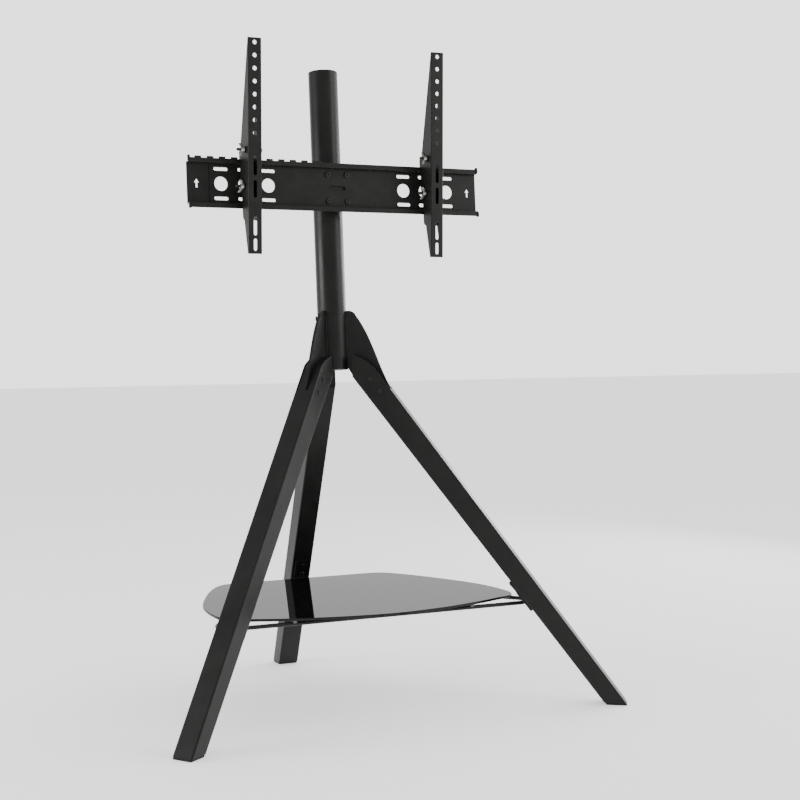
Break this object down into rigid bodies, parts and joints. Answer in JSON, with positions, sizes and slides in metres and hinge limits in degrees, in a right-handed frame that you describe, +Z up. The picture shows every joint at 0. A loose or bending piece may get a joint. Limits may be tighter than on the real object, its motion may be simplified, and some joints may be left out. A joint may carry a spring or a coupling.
{
  "type": "tripod screen floor stand",
  "caption": "Black floor stand for a screen: raked tube legs, leaning round pole, height-adjustable hooked rail, tilting screen arms and a glass shelf between the legs.",
  "frame": {"origin": "on the floor, at the middle of the stand's footprint box, between the front feet and the back foot", "axes": "+Z up, +Y to the back, +X to the right seen from the front"},
  "size_m": [0.9484, 0.6898, 1.3082],
  "materials": {
    "black_powder_coat": "fine satin powder coat",
    "black_pressed_steel": "satin powder coat on pressed sheet",
    "black_screws": "black oxide",
    "black_bolts": "black zinc",
    "zinc_wing_nuts": "bright zinc",
    "black_plastic": "fine moulded grain",
    "black_glass": "polished, black backed",
    "clear_rubber": "soft matte"
  },
  "bodies": {
    "stand": {"foot_plug_back": "black_plastic", "foot_plug_left": "black_plastic", "foot_plug_right": "black_plastic", "hub_bottom_plug": "black_plastic", "hub_fin_back": "black_powder_coat", "hub_fin_left": "black_powder_coat", "hub_fin_right": "black_powder_coat", "hub_tube": "black_powder_coat", "leg_back": "black_powder_coat", "leg_bolts_back": "black_screws", "leg_bolts_left": "black_screws", "leg_bolts_right": "black_screws", "leg_left": "black_powder_coat", "leg_right": "black_powder_coat", "leg_spacers_back": "black_plastic", "leg_spacers_left": "black_plastic", "leg_spacers_right": "black_plastic", "pole": "black_powder_coat", "pole_cap": "black_plastic", "pole_joint_tube": "black_powder_coat", "pole_screws": "black_screws", "shelf_bracket_back": "black_powder_coat", "shelf_bracket_left": "black_powder_coat", "shelf_bracket_right": "black_powder_coat", "shelf_glass": "black_glass", "shelf_pads": "clear_rubber", "shelf_rod_ring": "black_powder_coat", "shelf_screws": "black_screws"},
    "rail": {"clamp_bolts": "black_screws", "clamp_front": "black_pressed_steel", "clamp_nuts": "black_bolts", "clamp_rear": "black_pressed_steel", "mount_plate": "black_pressed_steel", "rail_end_stops": "black_plastic", "rail_nuts": "black_bolts", "rail_plain_plate": "black_pressed_steel", "rail_screws": "black_screws", "rail_toothed_plate": "black_pressed_steel"},
    "hanger_left": {"hook_bracket_left": "black_pressed_steel", "arm_washers_left": "black_bolts", "pivot_bolt_left": "black_bolts", "lock_bolt_left": "black_bolts"},
    "screen_arm_left": {"arm_left": "black_pressed_steel"},
    "pivot_nut_left": {"pivot_wing_nut_left": "zinc_wing_nuts"},
    "lock_nut_left": {"lock_wing_nut_left": "zinc_wing_nuts"},
    "hanger_right": {"hook_bracket_right": "black_pressed_steel", "arm_washers_right": "black_bolts", "pivot_bolt_right": "black_bolts", "lock_bolt_right": "black_bolts"},
    "screen_arm_right": {"arm_right": "black_pressed_steel"},
    "pivot_nut_right": {"pivot_wing_nut_right": "zinc_wing_nuts"},
    "lock_nut_right": {"lock_wing_nut_right": "zinc_wing_nuts"}
  },
  "joints": [
    {"name": "rail_height", "type": "slide", "parent": "stand", "child": "rail", "axis": [0, 0.0872, 0.9962], "range_m": [-0.1, 0.15]},
    {"name": "hanger_slide_left", "type": "slide", "parent": "rail", "child": "hanger_left", "axis": [1, 0, 0], "range_m": [-0.1, 0.14]},
    {"name": "arm_tilt_left", "type": "hinge", "parent": "hanger_left", "child": "screen_arm_left", "pos_m": [-0.2, 0.00128, 1.0932], "axis": [1, 0, 0], "range_deg": [-5, 2]},
    {"name": "pivot_nut_turn_left", "type": "hinge", "parent": "hanger_left", "child": "pivot_nut_left", "pos_m": [-0.216, 0.00128, 1.0932], "axis": [1, 0, 0], "continuous": true},
    {"name": "lock_nut_turn_left", "type": "hinge", "parent": "hanger_left", "child": "lock_nut_left", "pos_m": [-0.216, 0.00528, 1.0222], "axis": [1, 0, 0], "continuous": true},
    {"name": "hanger_slide_right", "type": "slide", "parent": "rail", "child": "hanger_right", "axis": [1, 0, 0], "range_m": [-0.14, 0.1]},
    {"name": "arm_tilt_right", "type": "hinge", "parent": "hanger_right", "child": "screen_arm_right", "pos_m": [0.2, 0.00128, 1.0932], "axis": [1, 0, 0], "range_deg": [-5, 2]},
    {"name": "pivot_nut_turn_right", "type": "hinge", "parent": "hanger_right", "child": "pivot_nut_right", "pos_m": [0.184, 0.00128, 1.0932], "axis": [1, 0, 0], "continuous": true},
    {"name": "lock_nut_turn_right", "type": "hinge", "parent": "hanger_right", "child": "lock_nut_right", "pos_m": [0.184, 0.00528, 1.0222], "axis": [1, 0, 0], "continuous": true}
  ]
}
